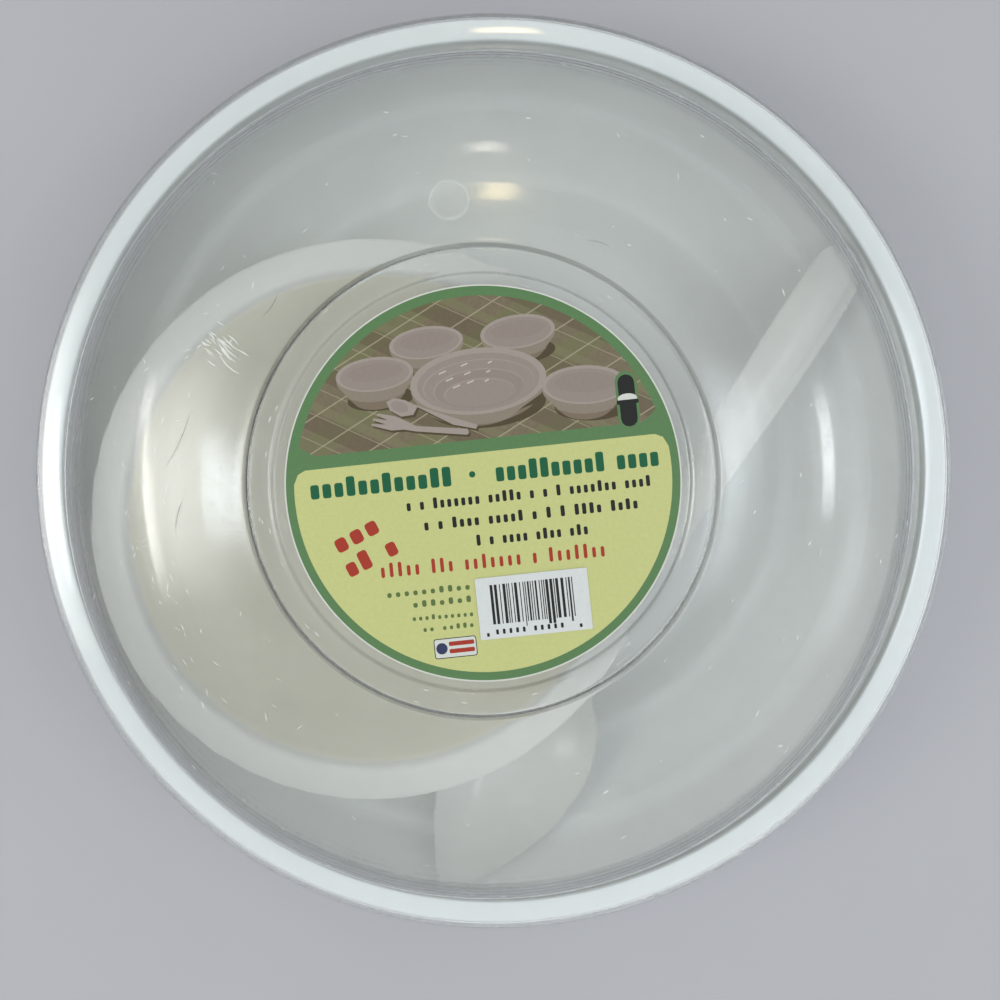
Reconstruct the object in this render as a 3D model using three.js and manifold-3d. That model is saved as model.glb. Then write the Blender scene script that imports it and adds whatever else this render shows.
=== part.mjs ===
// Picnic bowl set: a shallow serving bowl under a clear snap-on lid, holding four nested
// small bowls, a serving spoon and a serving fork.
// Millimetres, +Z up. The origin is the centre of the serving bowl's foot, on the table.
import * as THREE from 'three';
import { mergeVertices } from 'three/addons/utils/BufferGeometryUtils.js';
import Module from 'manifold-3d';

// Serving bowl
const RIM_RADIUS = 152.2;
const RIM_HEIGHT = 57;
const RIM_INNER_RADIUS = 145.3;
const RIM_THICKNESS = 2.2;
const RIM_LIP = { width: 1.4, drop: 1.4 };
const SERVING_WALL = 2;
const SERVING_FLOOR = 4;
const FOOT = { inner: 86, outer: 91, flare: 0.8 };
const BIG_SIDES = 40;

// Snap lid
const LID_WALL = 1.2;
const SKIRT_RADIUS = 154;
const SKIRT_BOTTOM = 48;
const LID_RIM_TOP = RIM_HEIGHT + 1.5;
const SKIRT_CHAMFER = 0.8;
const GROOVE = { outer: 144.6, inner: 142.2, slope: 1.2, depth: 1.3 };
const BEAD = { height: 51.8, reach: 0.35, half: 0.9 };
const CROWN_TOP = 95;
const RING = { outer: 71.3, inner: 61.9, rise: 1.6, slope: 1.4 };
const PANEL_TOP = CROWN_TOP + 0.4;

// Round label and the small sticker on it
const LABEL_RADIUS = 59.3;
const LABEL_OFFSET = [0.5, -0.4];
const LABEL_THICKNESS = 0.25;
const STICKER = { width: 34, height: 18.6, thickness: 0.12, x: 15.6, y: -36.4 };
const LABEL_TURN = THREE.MathUtils.degToRad(6);
const PAPER_GAP = 0.1;

// Small bowls, nested in one stack that stands off centre
const SMALL_COUNT = 4;
const SMALL_HEIGHT = 57;
const SMALL_RADIUS = 89.5;
const SMALL_WALL = 1.4;
const SMALL_FLOOR = 2;
const SMALL_FOOT = { inner: 44, outer: 49.6, flare: 0.5 };
const FLANGE = { inner: 80.6, thickness: 1.5, lipWidth: 1.3, lipDrop: 1.5, chamferWidth: 0.9, chamferDrop: 0.8 };
const SMALL_SIDES = 28;
const NEST_PITCH = 4.5;
const STACK_CENTRE = [-37.2, -13.9];
const STACK_BOTTOM = SERVING_FLOOR + 0.3;

// Serving spoon and fork, lying along one chord of the serving bowl
const HANDLE_END = [119.1, 74.7];
const HEAD_DIRECTION = Math.atan2(-0.846, -0.533);
const UTENSIL_THICKNESS = 1.8;
const UNDERSIDE_SHARE = 0.97;
const ACROSS_STEPS = 6;
const FORK = { along: 3.6, across: 4.6, drop: 3, splay: THREE.MathUtils.degToRad(1.25) };
const SLOT = { count: 3, width: 4.8, pitch: 10.5, start: 196, stagger: 3, length: 60, bottom: 10, height: 60 };

const white = { color: 0xe9ece8, roughness: 0.38, metalness: 0 };
const cream = { color: 0xe6e4d8, roughness: 0.4, metalness: 0 };
const clear = { color: 0xf2f6f5, roughness: 0.08, metalness: 0, transparent: true, opacity: 0.22 };
const labelPaper = { color: 0xd6d796, roughness: 0.42, metalness: 0 };
const stickerPaper = { color: 0xeef0ee, roughness: 0.5, metalness: 0 };

const server = new THREE.Group();

function addMesh(name, geometry, look, position = [0, 0, 0], turn = 0) {
  const mesh = new THREE.Mesh(geometry, new THREE.MeshStandardMaterial(look));
  mesh.name = name;
  mesh.position.set(...position);
  mesh.rotation.z = turn;
  server.add(mesh);
}

// A line of [radius, height] points moved sideways: to its right where distance is positive.
function offsetLine(line, distance) {
  const normals = line.slice(1).map(([r, z], i) => {
    const [dr, dz] = [r - line[i][0], z - line[i][1]];
    const length = Math.hypot(dr, dz);
    return [dz / length, -dr / length];
  });
  return line.map(([r, z], i) => {
    const before = normals[Math.max(i - 1, 0)];
    const after = normals[Math.min(i, normals.length - 1)];
    const scale = distance / (1 + before[0] * after[0] + before[1] * after[1]);
    return [r + (before[0] + after[0]) * scale, z + (before[1] + after[1]) * scale];
  });
}

function curved(points, steps) {
  const curve = new THREE.SplineCurve(points.map(([r, z]) => new THREE.Vector2(r, z)));
  return curve.getPoints(steps).map((point) => [point.x, point.y]);
}

// Turns a profile about the vertical axis. The profile runs out along the underside first.
function turned(profile, sides) {
  const points = profile.map(([r, z]) => new THREE.Vector2(r, z));
  return new THREE.LatheGeometry(points, sides).rotateX(Math.PI / 2);
}

// Inside wall in three tiers, each ending in a narrow ledge, and a flat rim round the top.
function servingBowl() {
  const inside = [
    [0, SERVING_FLOOR], [92, SERVING_FLOOR],
    [104, 18.5], [108.5, 20.5],
    [127.5, 37], [132.5, 38.8],
    [141.5, 48.5], [144.6, 53.5], [RIM_INNER_RADIUS, RIM_HEIGHT],
  ];
  const outside = offsetLine(inside, SERVING_WALL).slice(1, -1);
  const under = SERVING_FLOOR - SERVING_WALL;
  const rimUnder = RIM_HEIGHT - RIM_THICKNESS;
  const foot = [
    [0, under], [FOOT.inner - FOOT.flare, under],
    [FOOT.inner, 0], [FOOT.outer, 0], [FOOT.outer + FOOT.flare, under],
  ];
  const rim = [
    [RIM_INNER_RADIUS + SERVING_WALL, rimUnder], [RIM_RADIUS - RIM_LIP.width, rimUnder],
    [RIM_RADIUS - RIM_LIP.width, rimUnder - RIM_LIP.drop],
    [RIM_RADIUS, rimUnder - RIM_LIP.drop], [RIM_RADIUS, RIM_HEIGHT],
  ];
  return turned([...foot, ...outside, ...rim, ...inside.reverse()], BIG_SIDES);
}

// Skirt, flat rim, locating groove, domed crown, raised ring and flat label panel.
function snapLid() {
  const groove = LID_RIM_TOP - GROOVE.depth;
  const crown = curved([[141, LID_RIM_TOP], [136.5, 72.5], [128.5, 81], [115, 87.6],
    [96, 92.2], [RING.outer, CROWN_TOP]], 9);
  const top = [
    [SKIRT_RADIUS, SKIRT_BOTTOM], [SKIRT_RADIUS, LID_RIM_TOP - SKIRT_CHAMFER],
    [SKIRT_RADIUS - SKIRT_CHAMFER, LID_RIM_TOP],
    [GROOVE.outer, LID_RIM_TOP], [GROOVE.outer - GROOVE.slope, groove], [GROOVE.inner, groove], ...crown,
    [RING.outer - RING.slope, CROWN_TOP + RING.rise], [RING.inner + RING.slope, CROWN_TOP + RING.rise],
    [RING.inner, PANEL_TOP], [0, PANEL_TOP],
  ];
  const under = offsetLine(top, -LID_WALL);
  const [skirtFoot, ...rest] = under;
  const beadEdge = skirtFoot[0] - BEAD.reach;
  const bead = [
    [skirtFoot[0], BEAD.height - BEAD.half], [beadEdge, BEAD.height], [skirtFoot[0], BEAD.height + BEAD.half],
  ];
  const inside = [skirtFoot, ...bead, ...rest].reverse();
  return turned([...inside, ...top], BIG_SIDES);
}

// Straight tapered wall on a ring foot, with a flat flange turned down at its edge.
function smallBowl() {
  const inside = [[0, SMALL_FLOOR], [49.4, SMALL_FLOOR], ...curved([[52, 3.6], [58.6, 14.5], [68.1, 30.5],
    [77.6, 54.6]], 5), [79.6, SMALL_HEIGHT]];
  const wallUp = offsetLine(inside.slice(0, -1), SMALL_WALL).slice(1);
  const under = SMALL_FLOOR - SMALL_WALL;
  const flangeUnder = SMALL_HEIGHT - FLANGE.thickness;
  const lipUnder = flangeUnder - FLANGE.lipDrop;
  const lipInner = SMALL_RADIUS - FLANGE.lipWidth;
  return turned([
    [0, under], [SMALL_FOOT.inner - SMALL_FOOT.flare, under], [SMALL_FOOT.inner, 0], [SMALL_FOOT.outer, 0],
    ...wallUp, [FLANGE.inner, flangeUnder], [lipInner, flangeUnder], [lipInner, lipUnder],
    [SMALL_RADIUS, lipUnder], [SMALL_RADIUS, SMALL_HEIGHT - FLANGE.chamferDrop],
    [SMALL_RADIUS - FLANGE.chamferWidth, SMALL_HEIGHT], ...inside.reverse(),
  ], SMALL_SIDES);
}

function valueAt(line, x) {
  const next = Math.max(1, line.findIndex(([end]) => end >= x));
  const [x0, v0] = line[next - 1];
  const [x1, v1] = line[next];
  return v0 + ((v1 - v0) * (x - x0)) / (x1 - x0);
}

// Lines of [distance from the handle's end, value]: half widths and heights.
const SPOON_OUTLINE = curved([[0, 3.4], [3, 5.8], [10, 7], [40, 7.6], [100, 6.4], [150, 5], [168, 5.8],
  [178, 10.5], [189, 19.4], [204, 24.6], [221, 23], [237, 16.4], [248, 8.8], [253, 4.4], [255, 1.6]], 30);
const SPOON_EDGE = curved([[0, 55], [80, 49.8], [160, 44], [174, 41], [189, 39], [206, 40],
  [226, 44.6], [244, 50.6], [255, 54.8]], 60);
const SPOON_MIDDLE = curved([[0, 55.8], [80, 50.8], [160, 45], [174, 40.4], [189, 32], [206, 30.2],
  [226, 36], [244, 46.6], [255, 54.8]], 60);
const FORK_OUTLINE = curved([[0, 3.4], [3, 5.8], [10, 7], [40, 7.6], [100, 6.4], [146, 5], [162, 5.6],
  [173, 9], [184, 16.2], [198, 20.2], [212, 18.6], [222, 12.8], [229, 6.8], [232.6, 3.2], [234, 1.6]], 28);

// Height of the spoon's upper surface: a crowned handle that turns into a dished head.
function spoonSurface(x, y) {
  const edge = valueAt(SPOON_EDGE, x);
  const middle = valueAt(SPOON_MIDDLE, x);
  return middle + (edge - middle) * (y / valueAt(SPOON_OUTLINE, x)) ** 2;
}

// A thin blade between an outline of [distance, half width] and an upper surface.
function blade(outline, surface) {
  const positions = [];
  const faces = [];
  const around = 2 * (ACROSS_STEPS + 1);
  const across = Array.from({ length: ACROSS_STEPS + 1 }, (_, i) => (2 * i) / ACROSS_STEPS - 1);
  for (const [x, halfWidth] of outline) {
    const top = across.map((t) => [x, t * halfWidth, surface(x, t * halfWidth)]);
    const under = top.map(([px, py, pz]) => [px, py * UNDERSIDE_SHARE, pz - UTENSIL_THICKNESS]).reverse();
    positions.push(...top.flat(), ...under.flat());
  }
  for (let ring = 0; ring < outline.length - 1; ring += 1) {
    for (let i = 0; i < around; i += 1) {
      const a = ring * around + i;
      const b = ring * around + ((i + 1) % around);
      faces.push(a, a + around, b, b, a + around, b + around);
    }
  }
  const last = (outline.length - 1) * around;
  for (let i = 0; i < ACROSS_STEPS; i += 1) {
    const [a, b, c, d] = [i, i + 1, around - 1 - i, around - 2 - i];
    faces.push(a, b, c, b, d, c);
    faces.push(last + a, last + c, last + b, last + b, last + c, last + d);
  }
  const geometry = new THREE.BufferGeometry();
  geometry.setAttribute('position', new THREE.Float32BufferAttribute(positions, 3));
  geometry.setIndex(faces);
  return geometry;
}

// Nests under the spoon: the same dish, narrower, cut into four tines.
function servingFork(wasm) {
  const surface = (x, y) => spoonSurface(x + FORK.along, y) - FORK.drop;
  let fork = solid(wasm, blade(FORK_OUTLINE, surface));
  for (let i = 0; i < SLOT.count; i += 1) {
    const fromMiddle = i - (SLOT.count - 1) / 2;
    const start = SLOT.start + SLOT.stagger * Math.abs(fromMiddle);
    fork = fork.subtract(solid(wasm, slotCutter(start, fromMiddle * SLOT.pitch)));
  }
  return geometryOf(fork);
}

// Runs out past the tip, so that each slot is open at its end.
function slotCutter(start, across) {
  const half = SLOT.width / 2;
  const outline = new THREE.Shape();
  outline.moveTo(start + SLOT.length, half);
  outline.lineTo(start + half, half);
  outline.absarc(start + half, 0, half, Math.PI / 2, (3 * Math.PI) / 2, false);
  outline.lineTo(start + SLOT.length, -half);
  const cutter = new THREE.ExtrudeGeometry(outline, { depth: SLOT.height, bevelEnabled: false, curveSegments: 8 });
  return cutter.translate(0, across, SLOT.bottom);
}

function solid(wasm, geometry) {
  const bare = geometry.clone();
  bare.deleteAttribute('normal');
  bare.deleteAttribute('uv');
  const merged = mergeVertices(bare, 1e-4);
  return new wasm.Manifold(new wasm.Mesh({
    numProp: 3,
    vertProperties: new Float32Array(merged.attributes.position.array),
    triVerts: new Uint32Array(merged.index.array),
  }));
}

function geometryOf(manifold) {
  const mesh = manifold.getMesh();
  const geometry = new THREE.BufferGeometry();
  geometry.setAttribute('position', new THREE.BufferAttribute(mesh.vertProperties, 3));
  geometry.setIndex(new THREE.BufferAttribute(mesh.triVerts, 1));
  return geometry;
}

function labelDisc() {
  return turned([[0, 0], [LABEL_RADIUS, 0], [LABEL_RADIUS, LABEL_THICKNESS], [0, LABEL_THICKNESS]], BIG_SIDES);
}

const wasm = await Module();
wasm.setup();

addMesh('serving_bowl', servingBowl(), white);
addMesh('snap_lid', snapLid(), clear);
const labelBottom = PANEL_TOP + PAPER_GAP;
addMesh('label', labelDisc(), labelPaper, [...LABEL_OFFSET, labelBottom], LABEL_TURN);
const stickerMiddle = labelBottom + LABEL_THICKNESS + PAPER_GAP + STICKER.thickness / 2;
addMesh('barcode_sticker', new THREE.BoxGeometry(STICKER.width, STICKER.height, STICKER.thickness),
  stickerPaper, [STICKER.x, STICKER.y, stickerMiddle], LABEL_TURN);
for (let i = 0; i < SMALL_COUNT; i += 1) {
  addMesh(`small_bowl_${i + 1}`, smallBowl(), cream, [...STACK_CENTRE, STACK_BOTTOM + i * NEST_PITCH]);
}
addMesh('serving_spoon', blade(SPOON_OUTLINE, spoonSurface), white, [...HANDLE_END, 0], HEAD_DIRECTION);
const forkEnd = new THREE.Vector2(FORK.along, FORK.across)
  .rotateAround(new THREE.Vector2(), HEAD_DIRECTION).add(new THREE.Vector2(...HANDLE_END));
addMesh('serving_fork', servingFork(wasm), white, [...forkEnd, 0], HEAD_DIRECTION - FORK.splay);

export default server;
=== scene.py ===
"""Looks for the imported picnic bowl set: serving bowl, clear lid, printed label, nested bowls, spoon and fork.

Outlines are in millimetres and follow the CAD part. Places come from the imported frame.
"""
import math
import random

import bpy
import numpy as np
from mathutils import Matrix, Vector
from mathutils.geometry import delaunay_2d_cdt

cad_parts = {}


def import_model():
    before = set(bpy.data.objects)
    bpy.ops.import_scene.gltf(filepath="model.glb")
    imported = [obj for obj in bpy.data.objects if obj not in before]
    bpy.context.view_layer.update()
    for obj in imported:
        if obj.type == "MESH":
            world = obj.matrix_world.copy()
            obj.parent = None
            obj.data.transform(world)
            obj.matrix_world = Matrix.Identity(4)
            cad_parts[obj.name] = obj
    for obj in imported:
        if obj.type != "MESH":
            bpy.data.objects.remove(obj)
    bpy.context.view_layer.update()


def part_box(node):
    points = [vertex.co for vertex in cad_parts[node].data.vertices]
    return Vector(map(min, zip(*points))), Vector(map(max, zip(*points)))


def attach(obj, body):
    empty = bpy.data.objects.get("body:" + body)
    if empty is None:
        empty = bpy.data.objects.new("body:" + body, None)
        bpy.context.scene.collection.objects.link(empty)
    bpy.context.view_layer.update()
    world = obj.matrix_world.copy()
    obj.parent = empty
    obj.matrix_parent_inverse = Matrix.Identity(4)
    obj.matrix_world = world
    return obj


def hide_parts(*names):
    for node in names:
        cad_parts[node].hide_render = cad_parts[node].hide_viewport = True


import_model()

MM = 0.001
FINE_SIDES = 288


# ---------------------------------------------------------------- places read from the frame

def middle_of(node):
    """Centre of a CAD node seen from above, and its lowest and highest point, in millimetres."""
    low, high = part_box(node)
    centre = ((low.x + high.x) / 2 / MM, (low.y + high.y) / 2 / MM)
    return centre, low.z / MM, high.z / MM


LABEL_CENTRE, LABEL_BOTTOM, LABEL_TOP = middle_of("label")
STICKER_CENTRE, STICKER_BOTTOM, STICKER_TOP = middle_of("barcode_sticker")
RIM_HEIGHT = middle_of("serving_bowl")[2]


# ---------------------------------------------------------------- mesh helpers

def new_piece(name, vertices, faces, material, smooth_angle=32):
    mesh = bpy.data.meshes.new(name)
    mesh.from_pydata([tuple(c * MM for c in v) for v in vertices], [], faces)
    mesh.validate()
    piece = bpy.data.objects.new(name, mesh)
    bpy.context.scene.collection.objects.link(piece)
    mesh.materials.append(material)
    mesh.polygons.foreach_set("use_smooth", [True] * len(mesh.polygons))
    mesh.set_sharp_from_angle(angle=math.radians(smooth_angle))
    mesh.update()
    return piece


def rounded(points, steps=6):
    """Rounds each (r, z, fillet) corner of an outline with a short curve and drops the fillet."""
    line = [points[0][:2]]
    for before, corner, after in zip(points, points[1:], points[2:]):
        here = Vector(corner[:2])
        back, on = Vector(before[:2]) - here, Vector(after[:2]) - here
        reach = min(corner[2], back.length * 0.48, on.length * 0.48)
        if reach < 0.02:
            line.append(tuple(here))
            continue
        start, end = here + back.normalized() * reach, here + on.normalized() * reach
        for i in range(steps + 1):
            t = i / steps
            point = start * (1 - t) ** 2 + here * 2 * t * (1 - t) + end * t ** 2
            line.append(tuple(point))
    line.append(points[-1][:2])
    return line


def offset_line(points, distance):
    """The (r, z, fillet) line moved to its right by distance, with the same fillets."""
    flat = [Vector(p[:2]) for p in points]
    normals = []
    for a, b in zip(flat, flat[1:]):
        way = (b - a).normalized()
        normals.append(Vector((way.y, -way.x)))
    moved = []
    for i, point in enumerate(flat):
        before, after = normals[max(i - 1, 0)], normals[min(i, len(normals) - 1)]
        shift = (before + after) * (distance / (1 + before.dot(after)))
        moved.append((*(point + shift), points[i][2]))
    return moved


def spline(points, steps):
    """Catmull-Rom curve through points, sampled at equal steps of its parameter."""
    points = [np.array(p, float) for p in points]
    last = len(points) - 1
    line = []
    for i in range(steps + 1):
        place = i * last / steps
        k = min(int(place), last - 1)
        t = place - k
        p0, p1, p2, p3 = (points[min(max(k + j, 0), last)] for j in (-1, 0, 1, 2))
        v0, v1 = (p2 - p0) / 2, (p3 - p1) / 2
        value = ((2 * p1 - 2 * p2 + v0 + v1) * t ** 3 + (-3 * p1 + 3 * p2 - 2 * v0 - v1) * t ** 2
                 + v0 * t + p1)
        line.append(tuple(value))
    return line


def turned(name, outline, material, centre=(0, 0), bottom=0, sides=FINE_SIDES):
    """Turns an outline of (r, z) points, from axis to axis, about the vertical line through centre."""
    vertices, rings = [], []
    for r, z in outline:
        if r < 1e-6:
            rings.append([len(vertices)])
            vertices.append((0, 0, z))
            continue
        first = len(vertices)
        rings.append(list(range(first, first + sides)))
        for i in range(sides):
            a = 2 * math.pi * i / sides
            vertices.append((r * math.cos(a), r * math.sin(a), z))
    faces = []
    for low, high in zip(rings, rings[1:]):
        for i in range(sides):
            j = (i + 1) % sides
            face = [low[i % len(low)], low[j % len(low)], high[j % len(high)], high[i % len(high)]]
            face = list(dict.fromkeys(face))
            if len(face) > 2:
                faces.append(face)
    piece = new_piece(name, vertices, faces, material)
    piece.location = (centre[0] * MM, centre[1] * MM, bottom * MM)
    return piece


def finish_piece(piece, body, slot, *nodes):
    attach(piece, body)
    if nodes:
        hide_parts(*nodes)
    return piece


# ---------------------------------------------------------------- materials

class Nodes:
    """Short calls for building one material's node tree."""

    def __init__(self, name):
        self.material = bpy.data.materials.new(name)
        self.material.use_nodes = True
        self.tree = self.material.node_tree
        self.shader = self.tree.nodes["Principled BSDF"]
        self.output = self.tree.nodes["Material Output"]
        self.place = self.add("ShaderNodeTexCoord").outputs["Object"]

    def add(self, kind, **settings):
        node = self.tree.nodes.new(kind)
        for key, value in settings.items():
            setattr(node, key, value)
        return node

    def link(self, source, target):
        self.tree.links.new(source, target)

    def set(self, **values):
        for key, value in values.items():
            self.shader.inputs[key.replace("_", " ")].default_value = value

    def noise(self, scale, detail=3, roughness=0.55, stretch=None):
        node = self.add("ShaderNodeTexNoise")
        node.inputs["Scale"].default_value = scale
        node.inputs["Detail"].default_value = detail
        node.inputs["Roughness"].default_value = roughness
        source = self.place
        if stretch:
            mapping = self.add("ShaderNodeMapping")
            mapping.inputs["Scale"].default_value = stretch
            self.link(source, mapping.inputs["Vector"])
            source = mapping.outputs["Vector"]
        self.link(source, node.inputs["Vector"])
        return node.outputs["Fac"]

    def ramp(self, source, low, high, start=0.3, end=0.7):
        """Maps source from start..end to low..high: colours or plain numbers."""
        if isinstance(low, (int, float)):
            node = self.add("ShaderNodeMapRange")
            for name, value in zip(("From Min", "From Max", "To Min", "To Max"), (start, end, low, high)):
                node.inputs[name].default_value = value
            self.link(source, node.inputs["Value"])
            return node.outputs["Result"]
        node = self.add("ShaderNodeValToRGB")
        node.color_ramp.elements[0].position = start
        node.color_ramp.elements[0].color = (*low, 1)
        node.color_ramp.elements[1].position = end
        node.color_ramp.elements[1].color = (*high, 1)
        self.link(source, node.inputs["Fac"])
        return node.outputs["Color"]

    def bump(self, height, strength, distance):
        node = self.add("ShaderNodeBump")
        node.inputs["Strength"].default_value = strength
        node.inputs["Distance"].default_value = distance
        self.link(height, node.inputs["Height"])
        self.link(node.outputs["Normal"], self.shader.inputs["Normal"])


def moulded_plastic(name, light, dark, roughness, flange=None):
    """Moulded polypropylene with faint flow mottling and a fine satin skin. Given a flange, the part below it keeps
    the creamier colour, painted bounce light from inside the bowl, and the flange takes its own greyer colour.
    """
    n = Nodes(name)
    colour = n.ramp(n.noise(28, detail=4), dark, light)
    if flange:
        heights, flange_colour = flange
        # Painted bounce light: below the given heights the creamier colour stands for light bounced inside the bowl.
        axes = n.add("ShaderNodeSeparateXYZ")
        n.link(n.place, axes.inputs["Vector"])
        mix = n.add("ShaderNodeMix", data_type="RGBA")
        n.link(n.ramp(axes.outputs["Z"], 0, 1, heights[0] * MM, heights[1] * MM), mix.inputs["Factor"])
        n.link(colour, mix.inputs["A"])
        mix.inputs["B"].default_value = (*flange_colour, 1)
        colour = mix.outputs["Result"]
    n.link(colour, n.shader.inputs["Base Color"])
    n.link(n.ramp(n.noise(160), roughness - 0.05, roughness + 0.07), n.shader.inputs["Roughness"])
    n.set(IOR=1.49)
    n.bump(n.noise(520, detail=5), 0.06, 0.0004)
    return n.material


SHADE_TINT_START, SHADE_TINT_END = 85 * MM, 137 * MM


def clear_plastic(name, tint, painted_shade_tint, lets_through, worn=True):
    """Clear glossy plastic with a little haze, its tint deepening outwards over the crown as painted shade for the
    bowl seen beneath. It lets lamps through.

    Worn plastic also has a scuffed skin with soft waves and small pits.
    """
    n = Nodes(name)
    n.set(IOR=1.48, Roughness=0.085 if worn else 0.03)
    flat = n.add("ShaderNodeVectorMath", operation="MULTIPLY")
    flat.inputs[1].default_value = (1, 1, 0)
    reach = n.add("ShaderNodeVectorMath", operation="LENGTH")
    n.link(n.place, flat.inputs[0])
    n.link(flat.outputs["Vector"], reach.inputs[0])
    outwards = n.ramp(reach.outputs["Value"], 0, 1, SHADE_TINT_START, SHADE_TINT_END)
    # Painted shade: the tint darkens outwards across the crown, so the bowl's upper walls seen beneath look shaded.
    n.link(n.ramp(outwards, tint, painted_shade_tint, 0, 1), n.shader.inputs["Base Color"])
    n.set(Transmission_Weight=1, Coat_Weight=0.6, Coat_Roughness=0.26)
    if worn:
        waves, pits = n.add("ShaderNodeBump"), n.add("ShaderNodeBump")
        waves.inputs["Strength"].default_value = 0.05
        waves.inputs["Distance"].default_value = 0.0008
        pits.inputs["Strength"].default_value = 0.12
        pits.inputs["Distance"].default_value = 0.0002
        n.link(n.noise(34, detail=2), waves.inputs["Height"])
        n.link(n.ramp(n.noise(1100, detail=4), 0, 1, 0.60, 0.72), pits.inputs["Height"])
        n.link(waves.outputs["Normal"], pits.inputs["Normal"])
        n.link(pits.outputs["Normal"], n.shader.inputs["Normal"])
    haze = n.add("ShaderNodeBsdfDiffuse")
    haze.inputs["Color"].default_value = (0.82, 0.84, 0.80, 1)
    dusty = n.add("ShaderNodeMixShader")
    n.link(n.ramp(n.noise(18, detail=6, roughness=0.7), 0.02, 0.06), dusty.inputs["Fac"])
    n.link(n.shader.outputs["BSDF"], dusty.inputs[1])
    n.link(haze.outputs["BSDF"], dusty.inputs[2])
    through = n.add("ShaderNodeBsdfTransparent")
    through.inputs["Color"].default_value = (*lets_through, 1)
    rays = n.add("ShaderNodeLightPath")
    either = n.add("ShaderNodeMixShader")
    n.link(rays.outputs["Is Shadow Ray"], either.inputs["Fac"])
    n.link(dusty.outputs["Shader"], either.inputs[1])
    n.link(through.outputs["BSDF"], either.inputs[2])
    n.link(either.outputs["Shader"], n.output.inputs["Surface"])
    return n.material


def thin_mark(name, colour, alpha):
    """A scratch or mould mark: a part of the lid's skin that is a little more matt and opaque."""
    n = Nodes(name)
    n.link(n.ramp(n.noise(600), tuple(c * 0.9 for c in colour), colour), n.shader.inputs["Base Color"])
    n.set(Alpha=alpha, Roughness=0.35)
    return n.material


def printed(name, colour, roughness=0.42):
    """Ink on coated paper, with a faint fibre mottling."""
    n = Nodes(name)
    dark = tuple(c * 0.94 for c in colour)
    n.link(n.ramp(n.noise(900, detail=4), dark, colour), n.shader.inputs["Base Color"])
    n.link(n.ramp(n.noise(300), roughness - 0.04, roughness + 0.06), n.shader.inputs["Roughness"])
    n.set(Specular_IOR_Level=0.25)
    n.bump(n.noise(2200, detail=3), 0.05, 0.0001)
    return n.material


WHITE = moulded_plastic("white_plastic", (0.755, 0.785, 0.79), (0.735, 0.765, 0.77), 0.34)
UTENSIL = moulded_plastic("utensil_plastic", (0.69, 0.705, 0.69), (0.665, 0.68, 0.665), 0.17)
# Painted bounce light: the bowls' inside keeps the creamier colour while the flange takes a greyer one.
CREAM = moulded_plastic("cream_plastic", (0.81, 0.79, 0.68), (0.785, 0.765, 0.65), 0.33,
                        flange=((54.6, 55.6), (0.665, 0.68, 0.67)))
# The main lid plastic darkens outwards over the crown as painted shade for the bowl seen beneath.
CLEAR = clear_plastic("clear_plastic", (0.91, 0.92, 0.915), (0.67, 0.68, 0.68), (0.84, 0.85, 0.85))
CLEAR_EDGE = clear_plastic("clear_plastic_edge", (0.93, 0.95, 0.96), (0.93, 0.95, 0.96), (0.96, 0.965, 0.97),
                           worn=False)
# Painted shade: the ring's step faces get a dark tint for the dark lines that refraction draws there.
CLEAR_STEP_SHADE = clear_plastic("clear_plastic_step_shade", (0.60, 0.61, 0.59), (0.60, 0.61, 0.59), (0.84, 0.85, 0.845),
                           worn=False)


# ---------------------------------------------------------------- serving bowl

RIM_RADIUS = 152.2
RIM_THICKNESS = 2.2
RIM_LIP_WIDTH = 1.4
RIM_LIP_DROP = 1.4
SERVING_FLOOR = 4
SERVING_WALL = 2
FOOT_INNER, FOOT_OUTER, FOOT_FLARE = 86, 91, 0.8


def serving_bowl():
    """Wall in three tiers with a narrow ledge between them, a ring foot and a flat rim turned down at its edge."""
    inside = [
        (0, SERVING_FLOOR, 0), (92, SERVING_FLOOR, 7), (104, 18.5, 2.2), (108.5, 20.5, 2.4),
        (127.5, 37, 2.2), (132.5, 38.8, 2.4), (141.5, 48.5, 5), (144.6, 53.5, 2), (145.3, RIM_HEIGHT, 0.8),
    ]
    outside = offset_line(inside, SERVING_WALL)[1:-1]
    under = SERVING_FLOOR - SERVING_WALL
    rim_under = RIM_HEIGHT - RIM_THICKNESS
    lip_under, lip_inner = rim_under - RIM_LIP_DROP, RIM_RADIUS - RIM_LIP_WIDTH
    foot = [(0, under, 0), (FOOT_INNER - FOOT_FLARE, under, 0.8), (FOOT_INNER, 0, 0.5), (FOOT_OUTER, 0, 0.6),
            (FOOT_OUTER + FOOT_FLARE, under, 0.6)]
    rim = [
        (inside[-1][0] + SERVING_WALL, rim_under, 0.9), (lip_inner, rim_under, 0.4), (lip_inner, lip_under, 0.3),
        (RIM_RADIUS, lip_under, 0.4), (RIM_RADIUS, RIM_HEIGHT, 0.9),
    ]
    piece = turned("serving_bowl_body", rounded(foot + outside + rim + inside[::-1]), WHITE)
    return finish_piece(piece, "base", "white_plastic", "serving_bowl")


# ---------------------------------------------------------------- small bowls

SMALL_COUNT = 4
SMALL_HEIGHT = 57
SMALL_RADIUS = 89.5
SMALL_WALL = 1.4
SMALL_FLOOR = 2
SMALL_FOOT_INNER, SMALL_FOOT_OUTER, SMALL_FOOT_FLARE = 44, 49.6, 0.5
FLANGE_INNER = 80.6
FLANGE_UNDER = SMALL_HEIGHT - 1.5
FLANGE_LIP_UNDER = FLANGE_UNDER - 1.5
FLANGE_LIP_INNER = SMALL_RADIUS - 1.3
FLANGE_INSIDE = [(77.6, 54.6, 1.6), (79.6, SMALL_HEIGHT, 1.2)]
NESTED_INSIDE = [(0, SMALL_FLOOR, 0), (50, SMALL_FLOOR, 4), (58.6, 14.5, 9), (68.1, 30.5, 9), *FLANGE_INSIDE]
TOP_INSIDE = [(0, SMALL_FLOOR, 0), (52, 2.2, 24), (69, 32, 10), *FLANGE_INSIDE]


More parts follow.
